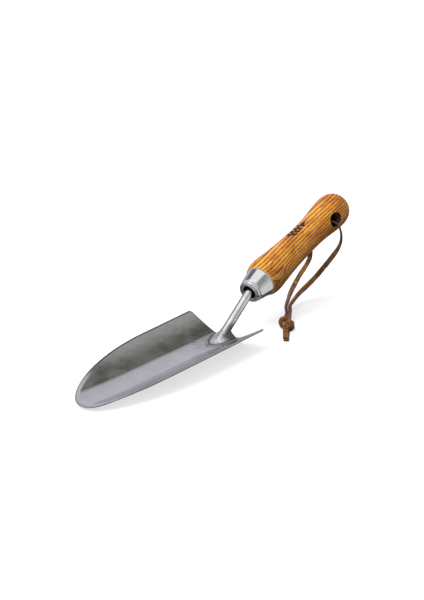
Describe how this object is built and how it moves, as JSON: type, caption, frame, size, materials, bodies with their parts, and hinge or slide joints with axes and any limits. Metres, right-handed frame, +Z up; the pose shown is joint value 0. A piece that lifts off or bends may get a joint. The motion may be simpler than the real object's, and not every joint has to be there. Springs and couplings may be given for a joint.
{
  "type": "hand trowel",
  "caption": "Garden hand trowel: round-nosed pressed steel scoop, forged cranked neck, conical ferrule, waisted ash handle and a knotted leather hanging lace.",
  "frame": {"origin": "middle of the flat strip under the blade's keel, halfway along the blade", "axes": "+X from the nose to the butt of the handle, +Z up out of the scoop, -Y to the side where the lace leaves the hole upwards"},
  "size_m": [0.3621, 0.0886, 0.097],
  "materials": {
    "blade_steel": "satin stainless sheet, brushed along its length",
    "neck_steel": "forged stainless bar, polished by hand",
    "weld_metal": "dressed weld bead",
    "ferrule_steel": "mirror polished",
    "ash_wood": "ash with dark open grain under an amber lacquer",
    "resin": "hardened resin",
    "lace_leather": "brown leather thong with raw cut edges"
  },
  "bodies": {
    "tool": {"blade": "blade_steel", "neck": "neck_steel", "foot_weld": "weld_metal", "ferrule": "ferrule_steel", "handle": "ash_wood", "tang_bond": "resin"},
    "lace": {"lace_near_strand": "lace_leather", "lace_far_strand": "lace_leather", "lace_knot": "lace_leather", "lace_near_tail": "lace_leather", "lace_far_tail": "lace_leather"}
  },
  "joints": [
    {"name": "lace_swing", "type": "hinge", "parent": "tool", "child": "lace", "pos_m": [0.2425, 0, 0.07387], "axis": [0, -1, 0], "range_deg": [0, 150]}
  ]
}
